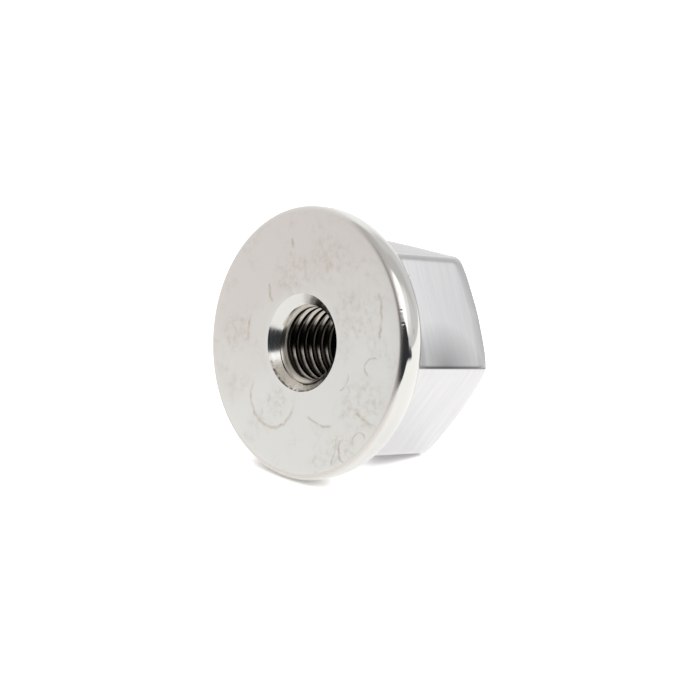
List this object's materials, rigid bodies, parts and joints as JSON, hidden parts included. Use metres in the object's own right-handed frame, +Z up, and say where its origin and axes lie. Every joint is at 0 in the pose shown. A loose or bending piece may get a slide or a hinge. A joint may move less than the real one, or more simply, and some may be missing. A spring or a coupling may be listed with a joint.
{
  "type": "lug nut",
  "caption": "Flanged lug nut: a chamfered hexagon on a round flange with a flat seat face, rounded rim, and a countersunk, threaded bore right through.",
  "frame": {"origin": "centre of the bounding box in X and Y, on the surface that the nut lies on", "axes": "+Z up; +X along the flange's diameter, level; the nut's own axis lies in the YZ plane, its seat face looks towards -Y, and its hexagon end dips 13.3 degrees towards the floor on the +Y side"},
  "size_m": [0.046, 0.0344, 0.0452],
  "materials": {
    "stainless_steel": "polished rim, satin seat face with faint drying stains, brushed flats"
  },
  "bodies": {
    "root": {"lug_nut": "stainless_steel"}
  },
  "joints": []
}
